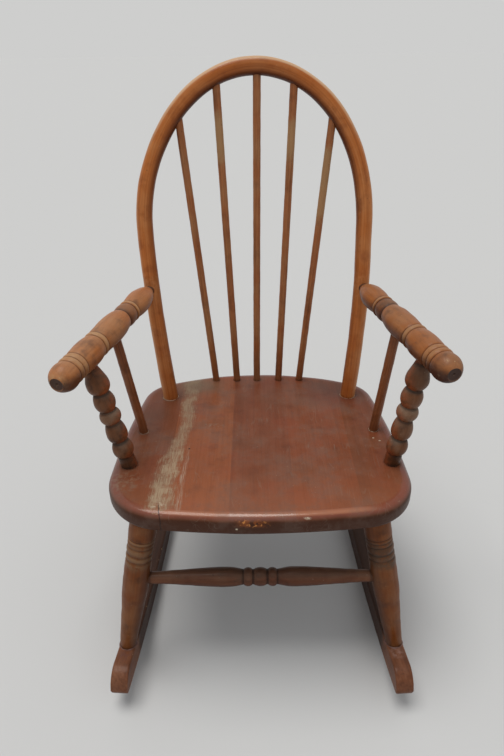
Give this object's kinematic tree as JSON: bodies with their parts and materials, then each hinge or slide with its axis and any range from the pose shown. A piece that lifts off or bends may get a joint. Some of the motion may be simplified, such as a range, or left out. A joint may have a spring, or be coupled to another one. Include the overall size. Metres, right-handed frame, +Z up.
{
  "type": "rocking chair",
  "caption": "Child's rocking chair in turned wood: plank seat, bent hoop back with plain spindles, beaded arm posts, ringed legs and curved rockers.",
  "frame": {"origin": "on the floor, under the low point of both rockers, half way between them", "axes": "+X to the right as the front is looked at, +Y from the front to the back, +Z up; left in the names is the -X side as seen from the front"},
  "size_m": [0.4178, 0.4536, 0.6565],
  "materials": {
    "seat_wood": "satin clear finish over stain, worn through at the front left",
    "hoop_wood": "satin clear finish over a light brown stain",
    "spindle_wood": "satin clear finish over a light brown stain",
    "arm_wood": "satin clear finish over a brown stain",
    "post_wood": "satin clear finish, darkened in the grooves",
    "leg_wood": "satin clear finish over a brown stain, worn on the rings",
    "rocker_wood": "satin clear finish over a brown stain",
    "stretcher_wood": "satin clear finish over a reddish stain",
    "screw_steel": "dark steel, slotted"
  },
  "bodies": {
    "root": {"seat_board_1": "seat_wood", "seat_board_2": "seat_wood", "seat_board_3": "seat_wood", "seat_board_4": "seat_wood", "seat_board_5": "seat_wood", "hoop": "hoop_wood", "back_spindle_1": "spindle_wood", "back_spindle_2": "spindle_wood", "back_spindle_3": "spindle_wood", "back_spindle_4": "spindle_wood", "back_spindle_5": "spindle_wood", "arm_left": "arm_wood", "arm_post_left": "post_wood", "side_spindle_left": "spindle_wood", "front_leg_left": "leg_wood", "rear_leg_left": "leg_wood", "rocker_left": "rocker_wood", "arm_right": "arm_wood", "arm_post_right": "post_wood", "side_spindle_right": "spindle_wood", "front_leg_right": "leg_wood", "rear_leg_right": "leg_wood", "rocker_right": "rocker_wood", "front_stretcher": "stretcher_wood", "rear_stretcher": "stretcher_wood", "arm_screws": "screw_steel", "rocker_pegs": "leg_wood"}
  },
  "joints": []
}
